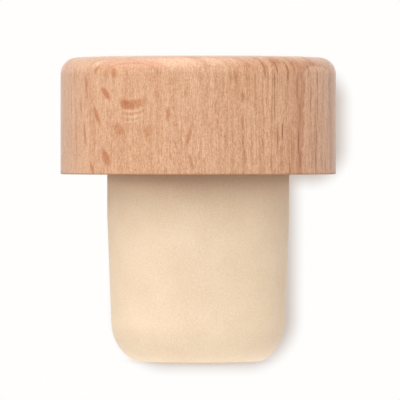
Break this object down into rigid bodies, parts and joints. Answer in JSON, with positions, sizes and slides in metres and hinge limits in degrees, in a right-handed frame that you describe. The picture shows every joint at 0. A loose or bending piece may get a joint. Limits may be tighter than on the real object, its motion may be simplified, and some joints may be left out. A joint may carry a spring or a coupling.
{
  "type": "bottle stopper",
  "caption": "Bottle stopper: a turned wooden head with a rounded top edge on a tapered, round-nosed shank of foamed synthetic cork.",
  "frame": {"origin": "centre of the shank's flat end, which is the bottom centre of the whole stopper", "axes": "+Z along the turning axis, from the shank's flat end to the top of the head; X and Y are alike, because the stopper is round"},
  "size_m": [0.0295, 0.0294, 0.0326],
  "materials": {
    "beech": "sanded smooth, thin clear satin finish",
    "foamed_cork": "matte, fine-grained skin"
  },
  "bodies": {
    "root": {"head": "beech", "shank": "foamed_cork"}
  },
  "joints": []
}
